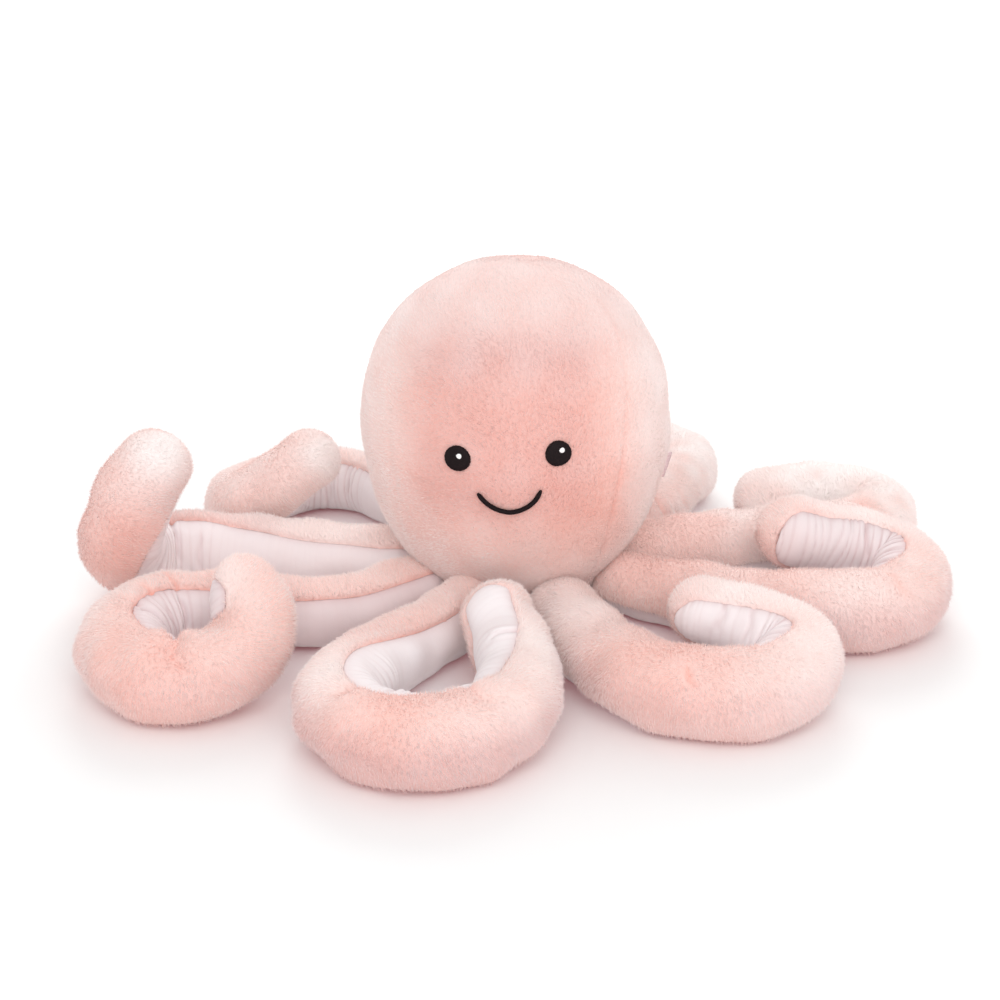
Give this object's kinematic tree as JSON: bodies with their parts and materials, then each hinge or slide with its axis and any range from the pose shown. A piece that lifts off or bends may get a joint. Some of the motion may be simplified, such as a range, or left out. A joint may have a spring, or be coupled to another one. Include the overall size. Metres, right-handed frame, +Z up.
{
  "type": "plush octopus",
  "caption": "Stuffed octopus toy with a balloon head, embroidered face and curled arms with smooth undersides, lying flat on its base.",
  "frame": {"origin": "centre of the flat underside of the base, on the surface that the toy lies on", "axes": "+Z up through the head, -Y the way that the face looks, +X to the right of someone facing the toy"},
  "size_m": [0.5325, 0.4722, 0.2155],
  "materials": {
    "plush_pink": "short soft pile, matte",
    "smooth_white": "smooth low pile, soft sheen",
    "black_thread": "satin stitch embroidery",
    "white_thread": "satin stitch embroidery",
    "polyester_fill": "loose fibre, matte",
    "label_tape": "woven tape, slight sheen"
  },
  "bodies": {
    "body": {"head_front_panel": "plush_pink", "head_right_panel": "plush_pink", "head_back_panel": "plush_pink", "head_left_panel": "plush_pink", "head_stuffing": "polyester_fill", "base_panel": "smooth_white", "left_eye": "black_thread", "right_eye": "black_thread", "left_eye_highlight": "white_thread", "right_eye_highlight": "white_thread", "smile": "black_thread", "label": "label_tape"},
    "front_left_arm": {"front_left_arm_plush": "plush_pink", "front_left_arm_underside": "smooth_white", "front_left_arm_stuffing": "polyester_fill"},
    "front_right_arm": {"front_right_arm_plush": "plush_pink", "front_right_arm_underside": "smooth_white", "front_right_arm_stuffing": "polyester_fill"},
    "right_front_arm": {"right_front_arm_plush": "plush_pink", "right_front_arm_underside": "smooth_white", "right_front_arm_stuffing": "polyester_fill"},
    "right_back_arm": {"right_back_arm_plush": "plush_pink", "right_back_arm_underside": "smooth_white", "right_back_arm_stuffing": "polyester_fill"},
    "back_right_arm": {"back_right_arm_plush": "plush_pink", "back_right_arm_underside": "smooth_white", "back_right_arm_stuffing": "polyester_fill"},
    "back_left_arm": {"back_left_arm_plush": "plush_pink", "back_left_arm_underside": "smooth_white", "back_left_arm_stuffing": "polyester_fill"},
    "left_back_arm": {"left_back_arm_plush": "plush_pink", "left_back_arm_underside": "smooth_white", "left_back_arm_stuffing": "polyester_fill"},
    "left_front_arm": {"left_front_arm_plush": "plush_pink", "left_front_arm_underside": "smooth_white", "left_front_arm_stuffing": "polyester_fill"}
  },
  "joints": [
    {"name": "front_left_arm_root", "type": "hinge", "parent": "body", "child": "front_left_arm", "pos_m": [-0.03051, -0.06852, 0.021], "axis": [-0.9135, 0.4067, 0], "range_deg": [0, 35]},
    {"name": "front_right_arm_root", "type": "hinge", "parent": "body", "child": "front_right_arm", "pos_m": [0.02688, -0.07002, 0.021], "axis": [-0.9336, -0.3584, 0], "range_deg": [0, 15]},
    {"name": "right_front_arm_root", "type": "hinge", "parent": "body", "child": "right_front_arm", "pos_m": [0.06741, -0.03288, 0.021], "axis": [-0.4384, -0.8988, 0], "range_deg": [0, 40]},
    {"name": "right_back_arm_root", "type": "hinge", "parent": "body", "child": "right_back_arm", "pos_m": [0.07336, 0.01559, 0.021], "axis": [0.2079, -0.9781, 0], "range_deg": [0, 20]},
    {"name": "back_right_arm_root", "type": "hinge", "parent": "body", "child": "back_right_arm", "pos_m": [0.04821, 0.05745, 0.021], "axis": [0.766, -0.6428, 0], "range_deg": [0, 40]},
    {"name": "back_left_arm_root", "type": "hinge", "parent": "body", "child": "back_left_arm", "pos_m": [-0.0375, 0.06495, 0.021], "axis": [0.866, 0.5, 0], "range_deg": [0, 15]},
    {"name": "left_back_arm_root", "type": "hinge", "parent": "body", "child": "left_back_arm", "pos_m": [-0.0749, 0.00393, 0.021], "axis": [0.0523, 0.9986, 0], "range_deg": [0, 40]},
    {"name": "left_front_arm_root", "type": "hinge", "parent": "body", "child": "left_front_arm", "pos_m": [-0.0629, -0.04085, 0.021], "axis": [-0.5446, 0.8387, 0], "range_deg": [0, 35]}
  ]
}
